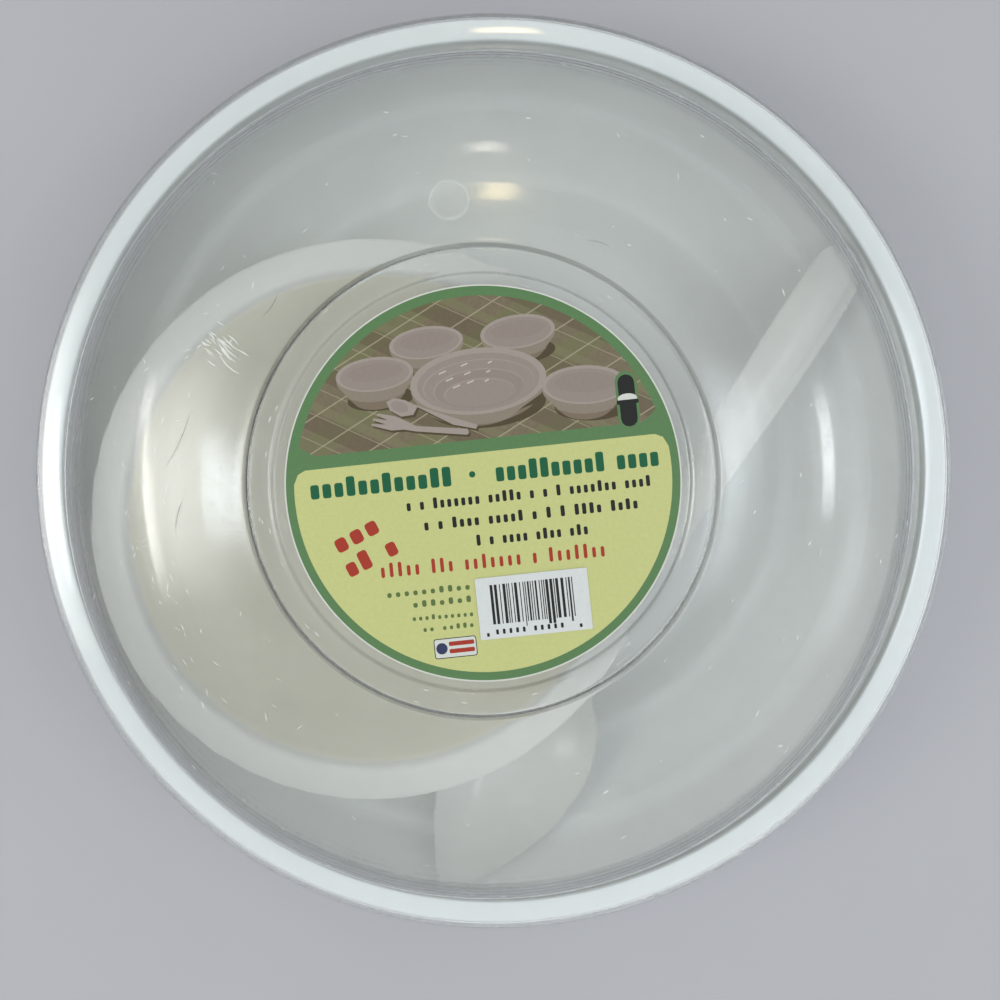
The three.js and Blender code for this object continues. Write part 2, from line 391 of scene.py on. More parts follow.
def small_bowl(number):
    """One nested bowl. The top one shows its wide moulded radius inside; the others have a foot in theirs."""
    centre, bottom, _ = middle_of(f"small_bowl_{number}")
    inside = NESTED_INSIDE if number < SMALL_COUNT else TOP_INSIDE
    outside = offset_line(NESTED_INSIDE[:-1], SMALL_WALL)[1:]
    under = SMALL_FLOOR - SMALL_WALL
    foot = [(0, under, 0), (SMALL_FOOT_INNER - SMALL_FOOT_FLARE, under, 0.4), (SMALL_FOOT_INNER, 0, 0.3),
            (SMALL_FOOT_OUTER, 0, 0.4)]
    flange = [
        (FLANGE_INNER, FLANGE_UNDER, 0.8), (FLANGE_LIP_INNER, FLANGE_UNDER, 0.4),
        (FLANGE_LIP_INNER, FLANGE_LIP_UNDER, 0.3), (SMALL_RADIUS, FLANGE_LIP_UNDER, 0.4),
        (SMALL_RADIUS, SMALL_HEIGHT, 0.9),
    ]
    profile = [*foot, *outside, *flange, *inside[::-1]]
    piece = turned(f"small_bowl_body_{number}", rounded(profile), CREAM, centre, bottom)
    return finish_piece(piece, f"bowl_{number}", "cream_plastic", f"small_bowl_{number}")


# ---------------------------------------------------------------- lid

LID_WALL = 1.2
SKIRT_RADIUS = 154
SKIRT_BOTTOM = 48
LID_RIM_TOP = RIM_HEIGHT + 1.5
CROWN_TOP = 95
CROWN = [(141, 58.5), (136.5, 72.5), (128.5, 81), (115, 87.6), (96, 92.2), (71.3, CROWN_TOP)]
GROOVE_FLOOR = LID_RIM_TOP - 0.7
GROOVE_OUTER = 144.6
RING_TOP = CROWN_TOP + 1.6
RING_OUTER, RING_FLAT_OUTER, RING_FLAT_INNER, RING_INNER = CROWN[-1][0], 69.9, 63.3, 61.9
PANEL_TOP = CROWN_TOP + 0.4
BEAD_HEIGHT, BEAD_HALF, BEAD_REACH = 51.8, 0.9, 0.35
LID_SIDES = 720


def crown_height(r):
    line = spline(CROWN, 80)
    return float(np.interp(r, [p[0] for p in line[::-1]], [p[1] for p in line[::-1]]))


def snap_lid():
    """Skirt with a bead, flat rim, shallow groove, domed crown, raised ring and flat label panel."""
    crown = [(r, z, 0.6) for r, z in spline(CROWN, 26)]
    crown[0] = (*crown[0][:2], 1.2)
    crown[-1] = (*crown[-1][:2], 1.6)
    top = [
        (SKIRT_RADIUS, SKIRT_BOTTOM, 0), (SKIRT_RADIUS, LID_RIM_TOP, 1.4), (GROOVE_OUTER, LID_RIM_TOP, 0.7),
        (143.4, GROOVE_FLOOR, 0.7), (142.2, GROOVE_FLOOR, 0.7), *crown, (RING_FLAT_OUTER, RING_TOP, 0.7),
        (RING_FLAT_INNER, RING_TOP, 0.7), (RING_INNER, PANEL_TOP, 0.6), (0, PANEL_TOP, 0),
    ]
    under = offset_line(top, -LID_WALL)
    skirt = under[0][0]
    bead = [(skirt, BEAD_HEIGHT - BEAD_HALF, 0.3), (skirt - BEAD_REACH, BEAD_HEIGHT, 0.4),
            (skirt, BEAD_HEIGHT + BEAD_HALF, 0.3)]
    inside = [(*under[0][:2], 0.3), *bead, *under[1:]][::-1]
    top[0] = (*top[0][:2], 0.4)
    piece = turned("lid_shell", rounded(inside + top, 5), CLEAR, sides=LID_SIDES)
    piece.data.materials.append(CLEAR_EDGE)
    piece.data.materials.append(CLEAR_STEP_SHADE)
    for polygon in piece.data.polygons:
        reach = math.hypot(*polygon.center[:2]) / MM
        # Faces on the ring's steps take the darker step tint, a painted shade line.
        on_step = RING_FLAT_OUTER < reach < RING_OUTER + 0.1 or 62.2 < reach < 62.8
        polygon.material_index = 1 if reach > GROOVE_OUTER + 0.1 else 2 if on_step else 0
    return finish_piece(piece, "lid", "clear_plastic", "snap_lid")


# ---------------------------------------------------------------- spoon and fork

HANDLE_END = Vector((119.1, 74.7))
HEAD_DIRECTION = math.atan2(-0.846, -0.533)
BLADE_THICKNESS = 1.8
FORK_BACK = Vector((3.6, 4.6))
FORK_DROP = 3
FORK_SPLAY = math.radians(1.25)
SLOT_STARTS = {-10.5: 199, 0: 196, 10.5: 199}
SLOT_HALF = 2.4

SPOON_OUTLINE = spline([
    (0, 3.4), (3, 5.8), (10, 7), (40, 7.6), (100, 6.4), (150, 5), (168, 5.8), (178, 10.5), (189, 19.4),
    (204, 24.6), (221, 23), (237, 16.4), (248, 8.8), (253, 4.4), (255, 1.6)], 90)
SPOON_EDGE = spline([
    (0, 55), (80, 49.8), (160, 44), (174, 41), (189, 39), (206, 40), (226, 44.6), (244, 50.6), (255, 54.8)], 120)
SPOON_MIDDLE = spline([
    (0, 55.8), (80, 50.8), (160, 45), (174, 40.4), (189, 32), (206, 30.2), (226, 36), (244, 46.6), (255, 54.8)], 120)
FORK_OUTLINE = spline([
    (0, 3.4), (3, 5.8), (10, 7), (40, 7.6), (100, 6.4), (146, 5), (162, 5.6), (173, 9), (184, 16.2),
    (198, 20.2), (212, 18.6), (222, 12.8), (229, 6.8), (232.6, 3.2), (234, 1.6)], 90)


def along(line, x):
    return float(np.interp(x, [p[0] for p in line], [p[1] for p in line]))


def spoon_height(x, y):
    """Upper surface of the spoon: a crowned handle that turns into a dished head."""
    middle = along(SPOON_MIDDLE, x)
    share = min(abs(y) / along(SPOON_OUTLINE, x), 1.15)
    return middle + (along(SPOON_EDGE, x) - middle) * share ** 2


def fork_height(x, y):
    return spoon_height(x + FORK_BACK.x, y) - FORK_DROP


def fork_border():
    """The fork's outline as one loop, with the slots between its tines cut in from the tip."""
    slots = []
    for middle, start in sorted(SLOT_STARTS.items(), reverse=True):
        places = np.linspace(start + SLOT_HALF, FORK_OUTLINE[-1][0] + 2, 120)
        one_end, other_end = (max(x for x in places if along(FORK_OUTLINE, x) > abs(y))
                              for y in (middle + SLOT_HALF, middle - SLOT_HALF))
        arc = [(start + SLOT_HALF - SLOT_HALF * math.cos(a), middle + SLOT_HALF * math.sin(a))
               for a in np.linspace(math.pi / 2, -math.pi / 2, 10)]
        slots.append([(one_end, middle + SLOT_HALF), *arc, (other_end, middle - SLOT_HALF)])
    loop = [(x, w) for x, w in FORK_OUTLINE if x <= slots[0][0][0]] + slots[0]
    for slot, following in zip(slots, slots[1:]):
        (x0, y0), (x1, y1) = slot[-1], following[0]
        if abs(y0) > abs(y1):
            loop += [(x, w) for x, w in FORK_OUTLINE if x0 < x < x1]
        else:
            loop += [(x, -w) for x, w in FORK_OUTLINE[::-1] if x1 < x < x0]
        loop += following
    return loop + [(x, -w) for x, w in FORK_OUTLINE[::-1] if x <= slots[-1][-1][0]]


def evenly(loop, step):
    """The closed loop with long sides split into parts of about step."""
    line = []
    for a, b in zip(loop, loop[1:] + loop[:1]):
        gap = math.dist(a, b)
        if gap < 0.15:
            continue
        parts = max(1, round(gap / step))
        line += [(a[0] + (b[0] - a[0]) * i / parts, a[1] + (b[1] - a[1]) * i / parts) for i in range(parts)]
    return line


def in_loop(loop, points):
    """Which of the points lie inside the loop."""
    loop, hit = np.asarray(loop, float), np.zeros(len(points), bool)
    x, y = points[:, 0], points[:, 1]
    for (x0, y0), (x1, y1) in zip(loop, np.roll(loop, -1, axis=0)):
        if y0 == y1:
            continue
        crosses = ((y0 > y) != (y1 > y)) & (x < (x1 - x0) * (y - y0) / (y1 - y0) + x0)
        hit ^= crosses
    return hit


BORDER_STEP = 1.6
GRID_X, GRID_Y = 2.2, 2
GRID_CLEAR = 1.1
BLADE_REACH = 26


def blade(name, loop, height, start, direction):
    """A thin plate inside a flat loop, lifted onto a curved upper surface and rounded on its edges."""
    loop = evenly(loop, BORDER_STEP)
    border = np.array(loop)
    points = [Vector(p) for p in loop]
    xs = np.arange(border[:, 0].min() + 1, border[:, 0].max(), GRID_X)
    ys = np.arange(-BLADE_REACH, BLADE_REACH + 0.1, GRID_Y)
    grid = np.array([(x, y) for x in xs for y in ys])
    for place, hit in zip(grid, in_loop(loop, grid)):
        if hit and np.min(np.hypot(*(border - place).T)) > GRID_CLEAR:
            points.append(Vector(place))
    flat, _, triangles, *_ = delaunay_2d_cdt(points, [], [list(range(len(loop)))], 1, 1e-5)
    count = len(flat)
    turn = Vector((math.cos(direction), math.sin(direction)))
    side = Vector((-turn.y, turn.x))
    vertices = []
    for drop in (0, BLADE_THICKNESS):
        for p in flat:
            place = start + turn * p.x + side * p.y
            vertices.append((place.x, place.y, height(p.x, p.y) - drop))
    faces = [list(t) for t in triangles] + [[i + count for i in reversed(t)] for t in triangles]
    edges = dict.fromkeys((a, b) for t in triangles for a, b in zip(t, list(t[1:]) + [t[0]]))
    faces += [[b, a, a + count, b + count] for a, b in edges if (b, a) not in edges]
    piece = new_piece(name, vertices, faces, UTENSIL, 60)
    edge = piece.modifiers.new("rounded_edge", "BEVEL")
    edge.width = 0.55 * MM
    edge.segments = 3
    edge.angle_limit = math.radians(50)
    edge.use_clamp_overlap = True
    return piece


def utensils():
    spoon_loop = SPOON_OUTLINE + [(x, -w) for x, w in SPOON_OUTLINE[::-1]]
    spoon = blade("spoon_body", spoon_loop, spoon_height, HANDLE_END, HEAD_DIRECTION)
    finish_piece(spoon, "spoon", "white_plastic", "serving_spoon")
    turn, side = math.cos(HEAD_DIRECTION), math.sin(HEAD_DIRECTION)
    back = Vector((FORK_BACK.x * turn - FORK_BACK.y * side, FORK_BACK.x * side + FORK_BACK.y * turn))
    fork = blade("fork_body", fork_border(), fork_height, HANDLE_END + back, HEAD_DIRECTION - FORK_SPLAY)
    finish_piece(fork, "fork", "white_plastic", "serving_fork")


# ---------------------------------------------------------------- printed label

LABEL_RADIUS = 59.3
PRINT_TURN = math.radians(6)
INKS = {
    "paper_edge": ((0.62, 0.63, 0.58), 0.5),
    "green_band": ((0.098, 0.205, 0.083), 0.38),
    "cream_field": ((0.535, 0.56, 0.23), 0.36),
    "title_green": ((0.006, 0.105, 0.045), 0.38),
    "red": ((0.36, 0.035, 0.018), 0.38),
    "black": ((0.012, 0.014, 0.012), 0.36),
    "small_green": ((0.10, 0.16, 0.05), 0.40),
    "dish_rim": ((0.335, 0.29, 0.255), 0.4),
    "dish_inside": ((0.285, 0.24, 0.212), 0.4),
    "dish_deep": ((0.27, 0.225, 0.198), 0.4),
    "dish_glint": ((0.52, 0.49, 0.45), 0.4),
    "dish_side": ((0.25, 0.208, 0.165), 0.4),
    "dish_low": ((0.19, 0.15, 0.105), 0.4),
    "dish_shade": ((0.075, 0.056, 0.028), 0.42),
    "badge_blue": ((0.03, 0.04, 0.10), 0.38),
    "pale": ((0.62, 0.64, 0.60), 0.4),
    "sticker_white": ((0.64, 0.67, 0.665), 0.45),
}


def cloth_print():
    """The printed photograph's check cloth: brown and olive bands crossed by pale threads, on a slant."""
    n = Nodes("printed_cloth")

    def across(angle):
        """Distance in millimetres across bands that lie at an angle in degrees."""
        mapping, axes = n.add("ShaderNodeMapping"), n.add("ShaderNodeSeparateXYZ")
        mapping.inputs["Rotation"].default_value = (0, 0, math.radians(angle))
        mapping.inputs["Scale"].default_value = (1 / MM,) * 3
        n.link(n.place, mapping.inputs["Vector"])
        n.link(mapping.outputs["Vector"], axes.inputs["Vector"])
        return axes.outputs["Y"]

    def step(kind, value, number=0):
        node = n.add("ShaderNodeMath", operation=kind)
        node.inputs[1].default_value = number
        n.link(value, node.inputs[0])
        return node.outputs[0]

    def banded(base, distance, shift, pitch, width, ink, amount):
        """Adds bands of ink: each covers a share (width) of every pitch, and hides a share (amount) of base."""
        band = step("LESS_THAN", step("FRACT", step("DIVIDE", step("ADD", distance, shift), pitch)), width)
        mix = n.add("ShaderNodeMix", data_type="RGBA")
        n.link(step("MULTIPLY", band, amount), mix.inputs["Factor"])
        n.link(base, mix.inputs["A"])
        mix.inputs["B"].default_value = (*ink, 1)
        return mix.outputs["Result"]

    weft, warp = across(-33), across(24)
    colour = n.ramp(n.noise(700, detail=4), (0.135, 0.108, 0.058), (0.17, 0.14, 0.083))
    colour = banded(colour, weft, 3, 17.5, 0.42, (0.135, 0.145, 0.055), 0.6)
    colour = banded(colour, warp, 7, 15, 0.36, (0.095, 0.067, 0.034), 0.55)
    colour = banded(colour, warp, 1, 15, 0.16, (0.175, 0.165, 0.08), 0.5)
    colour = banded(colour, weft, 0.6, 8.75, 0.045, (0.36, 0.32, 0.21), 0.7)
    colour = banded(colour, warp, 2.2, 7.5, 0.04, (0.34, 0.30, 0.20), 0.55)
    n.link(colour, n.shader.inputs["Base Color"])
    n.set(Roughness=0.4)
    return n.material


def circle(u, v, radius, parts=24):
    return [(u + radius * math.cos(a), v + radius * math.sin(a)) for a in np.linspace(0, 2 * math.pi, parts, False)]


def leaned(points, u, v, tilt):
    """Points turned by tilt degrees about the origin and moved by (u, v)."""
    t = math.radians(tilt)
    return [(u + x * math.cos(t) - y * math.sin(t), v + x * math.sin(t) + y * math.cos(t)) for x, y in points]


def oval(u, v, wide, tall, tilt=0, parts=40):
    return leaned([(wide * x, tall * y) for x, y in circle(0, 0, 1, parts)], u, v, tilt)


def block(u, v, wide, tall, corner=0.2, tilt=0):
    """Rounded block centred at (u, v)."""
    corner = min(corner, wide / 2.01, tall / 2.01)
    loop = []
    for k, (sx, sy) in enumerate(((1, 1), (-1, 1), (-1, -1), (1, -1))):
        middle_x, middle_y = sx * (wide / 2 - corner), sy * (tall / 2 - corner)
        for a in np.linspace(k * math.pi / 2, (k + 1) * math.pi / 2, 4):
            loop.append((middle_x + corner * math.cos(a), middle_y + corner * math.sin(a)))
    return leaned(loop, u, v, tilt)


WORD_GAP = 0.9


def greeked(shapes, ink, start, end, height, words, seed, weight=0.56):
    """A row of plain blocks that stands for a line of print. It has no letters: words gives each word's length."""
    dice = random.Random(seed)
    along_row = Vector(end) - Vector(start)
    total = sum(words) + WORD_GAP * (len(words) - 1)
    pitch = along_row.length / total
    tilt = math.degrees(math.atan2(along_row.y, along_row.x))
    way = along_row.normalized()
    up = Vector((-way.y, way.x))
    place = 0
    for size in words:
        for _ in range(size):
            tall = height * dice.choice((0.72, 0.72, 0.72, 1.0))
            middle = Vector(start) + way * (place + 0.5) * pitch + up * (tall - height) / 2
            shapes.append((ink, block(*middle, pitch * weight, tall, pitch * 0.2, tilt)))
            place += 1
        place += WORD_GAP


def arc_points(radius, start, end, parts=60):
    angles = np.linspace(math.radians(start), math.radians(end), parts)
    return [(radius * math.cos(a), radius * math.sin(a)) for a in angles]


def dish(shapes, u, v, wide, tall, depth, tilt=0, steps=0):
    """A pale bowl as the printed picture shows it: its shadow, side, rim and inside."""

    def half(share_x, share_y, drop, start, end):
        return [(wide * share_x * x, tall * share_y * y - drop) for x, y in arc_points(1, start, end, 22)]

    shapes.append(("dish_shade", oval(u + wide * 0.1, v - depth, wide * 0.86, tall * 0.7, tilt)))
    foot = half(0.6, 0.62, depth, 205, 335)
    side = (half(1, 1, 0, 0, 180) + half(0.99, 1, depth * 0.2, 182, 205) + foot
            + half(0.99, 1, depth * 0.2, 335, 358))
    shapes.append(("dish_side", leaned(side, u, v, tilt)))
    shapes.append(("dish_low", leaned(half(0.93, 1, depth * 0.42, 214, 326) + foot[::-1], u, v, tilt)))
    shapes.append(("dish_rim", oval(u, v, wide, tall, tilt)))
    shapes.append(("dish_inside", oval(u, v - tall * 0.03, wide * 0.9, tall * 0.87, tilt)))
    for k in range(steps):
        across, high, drop = 0.82 - 0.15 * k, 0.76 - 0.17 * k, tall * (0.10 + 0.12 * k)
        shapes.append(("dish_rim", oval(u, v - drop, wide * across, tall * high, tilt)))
        shapes.append(("dish_deep" if k % 2 else "dish_inside",
                       oval(u + 0.1, v - drop - 0.16, wide * across - 0.25, tall * high - 0.12, tilt)))
        for place, length in ((-0.62, 2.4), (-0.22, 2.2), (0.24, 1.4)):
            middle_v = v - drop + tall * high * 0.9 * math.sqrt(1 - (place / 0.9) ** 2) - 0.3
            shapes.append(("dish_glint", block(u + wide * across * place, middle_v, length, 0.42, 0.2, 18)))
    if not steps:
        shapes.append(("dish_deep", oval(u + wide * 0.02, v + tall * 0.12, wide * 0.72, tall * 0.52, tilt)))


def label_shapes():
    """Everything printed on the label, lowest layer first, in millimetres from its centre before PRINT_TURN."""
    field = 56.4
    shapes = [("paper_edge", circle(0, 0, LABEL_RADIUS, 160)), ("green_band", circle(0, 0, LABEL_RADIUS - 0.45, 160))]
    picture_low, field_top = 13.0, 9.2
    picture_angle = math.degrees(math.asin((picture_low + 3.5) / (field - 1.0)))
    picture = [(-field * math.cos(math.radians(picture_angle)) + 0.6, picture_low + 3.0),
               (-50.6, picture_low + 1.0), (-48.8, picture_low + 0.1),
               (48.8, picture_low + 0.1), (50.6, picture_low + 1.0)]
    picture += arc_points(field - 0.4, picture_angle, 180 - picture_angle, 90)
    shapes.append(("printed_cloth", picture))

    dish(shapes, -12.6, 43.4, 11.1, 4.8, 6.6, 2)
    dish(shapes, 14.9, 43.9, 11.2, 5.0, 6.2, 2)
    dish(shapes, -28.9, 35.6, 11.6, 5.1, 7.4, 1)
    dish(shapes, 1.7, 30.4, 20.4, 9.9, 7.2, 0, steps=3)
    dish(shapes, 33.2, 26.0, 12.8, 5.8, 6.8, -4)
    spoon = [(-17.2, 24.6), (-18.6, 22.4), (-22.2, 22.2), (-25.4, 24.4), (-26.2, 27.0), (-24.0, 28.0),
             (-20.6, 27.0), (-18.2, 25.4), (-6, 20.0), (0.2, 17.4), (-0.4, 16.3), (-7, 18.2)]
    fork = [(-18.4, 17.4), (-21.8, 18.3), (-25.6, 18.4), (-31.2, 20.4), (-31.4, 21.0), (-27.0, 20.4),
            (-30.8, 22.0), (-30.6, 22.6), (-26.4, 21.6), (-29.6, 23.4), (-29.0, 23.9), (-24.2, 22.6),
            (-20.6, 20.6), (-18.2, 19.0), (-3.0, 16.6), (-2.6, 15.4), (-3.2, 14.8)]
    shapes.append(("dish_shade", [(x + 0.5, y - 0.7) for x, y in spoon]))
    shapes.append(("dish_rim", spoon))
    shapes.append(("dish_inside", oval(-22.4, 25.2, 2.7, 1.6, -25)))
    shapes.append(("dish_shade", [(x + 0.5, y - 0.7) for x, y in fork]))
    shapes.append(("dish_rim", fork))

    field_angle = math.degrees(math.asin(field_top / field))
    field_end = field * math.cos(math.radians(field_angle))
    panel = [(-field_end + 3.2, field_top), (field_end - 3.2, field_top), (field_end - 0.9, field_top - 1.1)]
    panel += arc_points(field, field_angle - 4, -180 - field_angle + 4, 130)
    panel += [(-field_end + 0.9, field_top - 1.1)]
    shapes.append(("cream_field", panel))

    greeked(shapes, "title_green", (-52.0, 3.3), (-8.9, 3.0), 5.9, [12], 3, 0.72)
    shapes.append(("title_green", circle(-3.0, 2.9, 0.95)))
    greeked(shapes, "title_green", (3.6, 2.9), (53.2, 2.6), 5.9, [10, 4], 4, 0.72)
    greeked(shapes, "red", (-46.6, -14.2), (-32.4, -8.3), 5.8, [3], 5, 0.7)
    greeked(shapes, "red", (-43.9, -21.6), (-27.4, -15.2), 5.8, [2, 1], 6, 0.7)
    greeked(shapes, "black", (-23.9, -4.4), (50.0, -4.4), 3.3, [1, 1, 7, 5, 1, 1, 1, 7, 4], 7)
    greeked(shapes, "black", (-19.3, -10.7), (45.6, -10.7), 3.3, [1, 1, 4, 5, 1, 1, 1, 4, 4], 8)
    greeked(shapes, "black", (-4.2, -16.8), (30.0, -16.8), 3.3, [1, 1, 4, 4, 3], 9)
    greeked(shapes, "red", (-33.8, -22.9), (34.6, -23.4), 4.4, [5, 3, 7, 1, 7], 10, 0.42)
    greeked(shapes, "small_green", (-32.6, -30.2), (-6.6, -30.2), 2.0, [10], 20, 0.5)
    greeked(shapes, "small_green", (-25.2, -33.9), (-6.6, -33.9), 2.0, [7], 21, 0.5)
    greeked(shapes, "small_green", (-25.6, -38.0), (-6.6, -38.4), 1.6, [10], 22, 0.5)
    greeked(shapes, "small_green", (-22.8, -41.6), (-6.8, -41.6), 1.6, [2, 5], 23, 0.5)
    shapes += [
        ("black", block(-13.3, -47.9, 12.8, 6.0, 0.8)), ("pale", block(-13.3, -47.9, 12.3, 5.5, 0.6)),
        ("badge_blue", circle(-17.4, -47.9, 1.7)),
    ]
    shapes += [("red", block(-11.4, -46.7 - 2.2 * k, 7.6, 1.3, 0.4)) for k in range(2)]
    shapes += [
        ("green_band", block(45.4, 20.2, 6.6, 17.4, 3.2)), ("black", block(45.4, 20.0, 5.0, 15.6, 2.4)),
        ("pale", oval(45.4, 20.6, 2.9, 1.5)), ("black", block(45.4, 19.6, 6.6, 1.3, 0.5)),
    ]
    return shapes


def printed_sheet(name, shapes, inks, centre, bottom, top):
    """One flat sheet whose upper face is divided along every printed outline, with no layers on each other."""
    points, edges = [], []
    for _, loop in shapes:
        first = len(points)
        points += [Vector(p) for p in loop]
        edges += [(first + i, first + (i + 1) % len(loop)) for i in range(len(loop))]
    flat, _, triangles, *_ = delaunay_2d_cdt(points, edges, [], 0, 1e-4)
    flat = np.array([tuple(p) for p in flat])
    middles = np.array([flat[list(t)].mean(axis=0) for t in triangles])
    ink = np.zeros(len(triangles), int)
    names = list(inks)
    for shape_ink, loop in shapes:
        ink[in_loop(loop, middles)] = names.index(shape_ink)
    rim = shapes[0][1]
    turn, side = math.cos(PRINT_TURN), math.sin(PRINT_TURN)

    def placed(p, z):
        return (centre[0] + p[0] * turn - p[1] * side, centre[1] + p[0] * side + p[1] * turn, z)

    count = len(flat)
    vertices = [placed(p, top) for p in flat] + [placed(p, top) for p in rim] + [placed(p, bottom) for p in rim]
    faces = [list(t) for t in triangles]
    size = len(rim)
    for i in range(size):
        j = (i + 1) % size
        faces.append([count + i, count + size + i, count + size + j, count + j])
    faces.append([count + size + i for i in reversed(range(size))])
    piece = new_piece(name, vertices, faces, inks[names[0]])
    for ink_name in names[1:]:
        piece.data.materials.append(inks[ink_name])
    for polygon, value in zip(piece.data.polygons, list(ink) + [0] * (size + 1)):
        polygon.material_index = int(value)
        polygon.use_smooth = False
    return piece


def label():
    inks = {name: printed(name, *values) for name, values in INKS.items() if name != "sticker_white"}
    inks["printed_cloth"] = cloth_print()
    piece = printed_sheet("label_print", label_shapes(), inks, LABEL_CENTRE, LABEL_BOTTOM, LABEL_TOP)
    finish_piece(piece, "lid", "label_paper", "label")


def code_sticker():
    """A small white sticker with plain stripes of mixed widths and a row of blocks. It codes nothing."""
    wide, tall = 33.6, 18.4
    dice = random.Random(11)
    shapes = [("sticker_white", block(0, 0, wide, tall, 0.5))]
    u, last, stripe_top = -wide / 2 + 4.2, wide / 2 - 4.6, 6.9
    while u < last:
        stripe = dice.choice((0.3, 0.3, 0.55, 0.85))
        end = -4.9 if dice.random() > 0.16 else -6.3
        shapes.append(("black", block(u + stripe / 2, (stripe_top + end) / 2, stripe, stripe_top - end, 0.02)))
        u += stripe + dice.choice((0.3, 0.42, 0.7))
    marks = [(-11.6 + 2.0 * k + (1.4 if k > 4 else 0), -7.2, 1.5) for k in range(10)]
    for place, middle, height in ((-14.4, -7.8, 1.1), *marks, (13.4, -7.8, 1.1)):
        shapes.append(("black", block(place, middle, 0.8, height, 0.2)))
    inks = {name: printed("sticker_" + name, *INKS[name]) for name in ("sticker_white", "black")}
    piece = printed_sheet("barcode_sticker_print", shapes, inks, STICKER_CENTRE, STICKER_BOTTOM, STICKER_TOP)
    finish_piece(piece, "lid", "sticker_paper", "barcode_sticker")


# ---------------------------------------------------------------- wear on the lid

def lid_height(x, y):
    """Height of the lid's upper surface over a point, from the panel to the foot of the crown."""
    r = math.hypot(x, y)
    ring = [(0, PANEL_TOP), (RING_INNER, PANEL_TOP), (RING_FLAT_INNER, RING_TOP), (RING_FLAT_OUTER, RING_TOP),
            (RING_OUTER, CROWN_TOP)]
    if r < RING_OUTER:
        return float(np.interp(r, [p[0] for p in ring], [p[1] for p in ring]))
    return crown_height(r)


WEAR_LIFT = 0.03


def hairline(vertices, faces, line, width):
    """Adds a thin ribbon along a line of (x, y) points, laid on the lid and tapered at both ends."""
    first = len(vertices)
    for i, (x, y) in enumerate(line):
        before, after = line[max(i - 1, 0)], line[min(i + 1, len(line) - 1)]
        way = Vector((after[0] - before[0], after[1] - before[1])).normalized()
        half = width / 2 * (0.15 + math.sin(math.pi * i / (len(line) - 1)))
        for side in (1, -1):
            px, py = x - way.y * half * side, y + way.x * half * side
            vertices.append((px, py, lid_height(px, py) + WEAR_LIFT))
    for i in range(first, first + 2 * (len(line) - 1), 2):
        faces.append([i, i + 1, i + 3, i + 2])


def stroke(start, end, bend=0, parts=8):
    a, b = Vector(start), Vector(end)
    across = Vector((-(b - a).y, (b - a).x))
    return [tuple(a.lerp(b, t) + across * bend * 4 * t * (1 - t)) for t in np.linspace(0, 1, parts)]


def lid_wear():
    """Long dark hairlines, one patch of pale scuffs, and short pale scratches over the crown and the ring; nearly
    half of the crown's scratches gather on the band where the left lamps' highlight falls, as painted glints.
    """
    dice = random.Random(8)
    pale, dark = ([], []), ([], [])
    for start, end, bend, width in (
            ((-87.9, 21.2), (-95.8, 4.0), 0.05, 0.34), ((-90.3, -6.0), (-92.5, -15.1), -0.06, 0.4),
            ((-61.5, 56.0), (-66.0, 49.5), 0.08, 0.25), ((31.0, 72.0), (38.5, 70.0), 0.1, 0.22)):
        hairline(*dark, stroke(start, end, bend), width)
    for _ in range(22):
        x, y = dice.gauss(-81, 2.4), dice.gauss(42, 2.4)
        tilt, size = dice.gauss(-0.75, 0.22), dice.uniform(2, 9)
        end = (x + size * math.cos(tilt), y + size * math.sin(tilt))
        hairline(*pale, stroke((x, y), end, dice.uniform(-0.1, 0.1)), 0.3)
    for _ in range(150):
        a, r = dice.uniform(0, 2 * math.pi), math.sqrt(dice.uniform(74 ** 2, 136 ** 2))
        # Painted glints: these pale strokes gather on the crown's band where the left highlight falls.
        if dice.random() < 0.45:
            a, r = dice.gauss(math.pi, 0.45), dice.gauss(101, 7)
        tilt, size = a + math.pi / 2 + dice.gauss(0, 0.5), dice.uniform(0.5, 2.6)
        x, y = r * math.cos(a), r * math.sin(a)
        end = (x + size * math.cos(tilt), y + size * math.sin(tilt))
        if 73 < r < 137:
            hairline(*pale, stroke((x, y), end), dice.uniform(0.12, 0.3))
    for _ in range(26):
        a, r = dice.uniform(0, 2 * math.pi), dice.uniform(64, 69)
        start, end = ((r * math.cos(a + turn), r * math.sin(a + turn)) for turn in (0, 0.03))
        hairline(*pale, stroke(start, end), 0.2)
    scratch_and_glint_finish = thin_mark("pale_scratch_and_glint", (0.94, 0.95, 0.92), 0.75)
    dark_finish = thin_mark("dark_scratch", (0.30, 0.31, 0.27), 0.45)
    finish_piece(new_piece("lid_scuffs_and_glints", *pale, scratch_and_glint_finish), "lid", "clear_plastic")
    finish_piece(new_piece("lid_hairlines", *dark, dark_finish), "lid", "clear_plastic")


def mould_mark():
    """The round gate mark on the crown, with a worn uneven edge."""
    centre, radius, parts = (-10, 84.4), 6.2, 48
    dice = random.Random(2)
    shares = (0, 0.35, 0.7, 0.86, 1.0)
    vertices, faces = [], []
    for share in shares:
        for i in range(parts):
            a = 2 * math.pi * i / parts
            r = radius * share * (1 + (dice.uniform(-0.03, 0.03) if share == 1 else 0))
            x, y = centre[0] + r * math.cos(a), centre[1] + r * math.sin(a)
            vertices.append((x, y, lid_height(x, y) + 0.02))
    for ring in range(len(shares) - 1):
        for i in range(parts):
            j = (i + 1) % parts
            a, b = ring * parts, (ring + 1) * parts
            faces.append([a + i, b + i, b + j, a + j])
    piece = new_piece("lid_gate_mark", vertices, faces, thin_mark("gate_mark", (0.85, 0.87, 0.84), 0.10))
    piece.data.materials.append(thin_mark("gate_mark_edge", (0.92, 0.94, 0.91), 0.22))
    for polygon in piece.data.polygons:
        polygon.material_index = int(polygon.index >= 3 * parts)
    finish_piece(piece, "lid", "clear_plastic")


serving_bowl()
utensils()
lid_wear()
mould_mark()
label()
code_sticker()
for number in range(1, SMALL_COUNT + 1):
    small_bowl(number)
snap_lid()


# ---------------------------------------------------------------- floor, lights and camera

FLOOR_REACH = 5000


